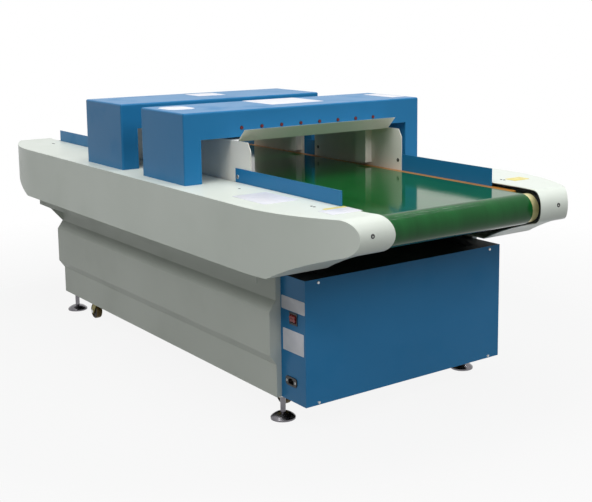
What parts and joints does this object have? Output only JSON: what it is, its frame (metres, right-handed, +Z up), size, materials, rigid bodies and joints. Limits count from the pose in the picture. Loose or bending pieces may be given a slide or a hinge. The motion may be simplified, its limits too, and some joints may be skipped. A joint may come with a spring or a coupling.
{
  "type": "conveyor metal detector",
  "caption": "Free-standing conveyor metal detector: a flat belt carries goods through two blue detector portals, between bow-ended side housings on a sheet-metal base.",
  "frame": {"origin": "on the floor, under the middle of the machine's bounding box", "axes": "+X along the belt towards the end with the blue end cover, +Z up, -Y the operator's side with the mains switch"},
  "size_m": [2.262, 1.03, 0.8695],
  "materials": {
    "blue_paint": "satin blue powder coat",
    "grey_panel_paint": "fine grey powder coat",
    "housing_paint": "pale grey-green powder coat",
    "tunnel_paint": "warm white powder coat",
    "dark_paint": "dark grey paint",
    "belt_green": "glossy green conveyor belt",
    "bed_board": "orange-brown laminate board",
    "roller_zinc": "yellow zinc plated steel",
    "cast_bearing": "painted cast iron",
    "bright_steel": "bright zinc plated steel",
    "foot_chrome": "polished nickel plate",
    "caster_tread": "olive brown moulded tread",
    "sensor_aluminium": "cast aluminium",
    "black_plastic": "black moulded plastic",
    "rocker_red": "red moulded plastic",
    "lamp_red": "dark red lens"
  },
  "bodies": {
    "frame": {"base_frame": "dark_paint", "base_top_plate": "dark_paint", "caster_plates": "bright_steel", "conveyor_beam_far": "dark_paint", "conveyor_beam_near": "dark_paint", "conveyor_belt": "belt_green", "conveyor_supports": "dark_paint", "cover_screws": "bright_steel", "drive_bearings": "cast_bearing", "drive_chain": "bright_steel", "electronics_box": "dark_paint", "foot_lock_nuts": "bright_steel", "front_end_cover": "blue_paint", "gearmotor": "sensor_aluminium", "guides_far": "blue_paint", "guides_near": "blue_paint", "head_casing_front": "blue_paint", "head_casing_rear": "blue_paint", "idler_bearings": "cast_bearing", "indicator_lamps": "lamp_red", "levelling_foot_front_far": "foot_chrome", "levelling_foot_front_near": "foot_chrome", "levelling_foot_rear_far": "foot_chrome", "levelling_foot_rear_near": "foot_chrome", "lower_sensor_front": "sensor_aluminium", "lower_sensor_rear": "sensor_aluminium", "power_inlet": "black_plastic", "rear_end_cover": "dark_paint", "side_housing_far": "housing_paint", "side_housing_near": "housing_paint", "side_panel_far": "grey_panel_paint", "side_panel_near": "grey_panel_paint", "slider_bed": "bed_board", "switch_bezel": "black_plastic", "take_up_screws": "bright_steel", "tie_bars": "dark_paint", "tunnel_blocks": "tunnel_paint", "tunnel_liner_front": "tunnel_paint", "tunnel_liner_rear": "tunnel_paint", "upper_sensor_front": "sensor_aluminium", "upper_sensor_rear": "sensor_aluminium"},
    "drive_roller": {"drive_roller": "roller_zinc", "drive_sprocket": "bright_steel"},
    "idler_roller": {"idler_roller": "roller_zinc"},
    "return_roller_front": {"return_roller_front": "roller_zinc"},
    "return_roller_rear": {"return_roller_rear": "roller_zinc"},
    "motor_shaft": {"motor_sprocket": "bright_steel"},
    "power_rocker": {"power_rocker": "rocker_red"},
    "caster_front_near": {"caster_fork_front_near": "bright_steel", "caster_axle_front_near": "bright_steel"},
    "wheel_front_near": {"caster_wheel_front_near": "caster_tread"},
    "caster_front_far": {"caster_fork_front_far": "bright_steel", "caster_axle_front_far": "bright_steel"},
    "wheel_front_far": {"caster_wheel_front_far": "caster_tread"},
    "caster_rear_near": {"caster_fork_rear_near": "bright_steel", "caster_axle_rear_near": "bright_steel"},
    "wheel_rear_near": {"caster_wheel_rear_near": "caster_tread"},
    "caster_rear_far": {"caster_fork_rear_far": "bright_steel", "caster_axle_rear_far": "bright_steel"},
    "wheel_rear_far": {"caster_wheel_rear_far": "caster_tread"}
  },
  "joints": [
    {"name": "drive_roller_spin", "type": "hinge", "parent": "frame", "child": "drive_roller", "pos_m": [-1.06, 0, 0.5947], "axis": [0, 1, 0], "continuous": true},
    {"name": "idler_roller_spin", "type": "hinge", "parent": "frame", "child": "idler_roller", "pos_m": [1.06, 0, 0.5947], "axis": [0, 1, 0], "continuous": true},
    {"name": "return_roller_front_spin", "type": "hinge", "parent": "frame", "child": "return_roller_front", "pos_m": [0.38, 0, 0.5291], "axis": [0, 1, 0], "continuous": true},
    {"name": "return_roller_rear_spin", "type": "hinge", "parent": "frame", "child": "return_roller_rear", "pos_m": [-0.38, 0, 0.5291], "axis": [0, 1, 0], "continuous": true},
    {"name": "motor_shaft_spin", "type": "hinge", "parent": "frame", "child": "motor_shaft", "pos_m": [-0.685, 0.3, 0.515], "axis": [0, 1, 0], "continuous": true},
    {"name": "power_rocker_tip", "type": "hinge", "parent": "frame", "child": "power_rocker", "pos_m": [0.813, -0.373, 0.3215], "axis": [-1, 0, 0], "range_deg": [0, 16]},
    {"name": "caster_front_near_swivel", "type": "hinge", "parent": "frame", "child": "caster_front_near", "pos_m": [0.664, -0.297, 0.07], "axis": [0, 0, 1], "continuous": true},
    {"name": "wheel_front_near_spin", "type": "hinge", "parent": "caster_front_near", "child": "wheel_front_near", "pos_m": [0.642, -0.297, 0.035], "axis": [0, 1, 0], "continuous": true},
    {"name": "caster_front_far_swivel", "type": "hinge", "parent": "frame", "child": "caster_front_far", "pos_m": [0.664, 0.297, 0.07], "axis": [0, 0, 1], "continuous": true},
    {"name": "wheel_front_far_spin", "type": "hinge", "parent": "caster_front_far", "child": "wheel_front_far", "pos_m": [0.642, 0.297, 0.035], "axis": [0, 1, 0], "continuous": true},
    {"name": "caster_rear_near_swivel", "type": "hinge", "parent": "frame", "child": "caster_rear_near", "pos_m": [-0.531, -0.357, 0.07], "axis": [0, 0, 1], "continuous": true},
    {"name": "wheel_rear_near_spin", "type": "hinge", "parent": "caster_rear_near", "child": "wheel_rear_near", "pos_m": [-0.553, -0.357, 0.035], "axis": [0, 1, 0], "continuous": true},
    {"name": "caster_rear_far_swivel", "type": "hinge", "parent": "frame", "child": "caster_rear_far", "pos_m": [-0.531, 0.357, 0.07], "axis": [0, 0, 1], "continuous": true},
    {"name": "wheel_rear_far_spin", "type": "hinge", "parent": "caster_rear_far", "child": "wheel_rear_far", "pos_m": [-0.553, 0.357, 0.035], "axis": [0, 1, 0], "continuous": true}
  ],
  "couplings": [
    {"joint": "idler_roller_spin", "follows": "drive_roller_spin", "ratio": 1},
    {"joint": "return_roller_front_spin", "follows": "drive_roller_spin", "ratio": -2.15},
    {"joint": "return_roller_rear_spin", "follows": "drive_roller_spin", "ratio": -2.15},
    {"joint": "motor_shaft_spin", "follows": "drive_roller_spin", "ratio": 1.5}
  ]
}
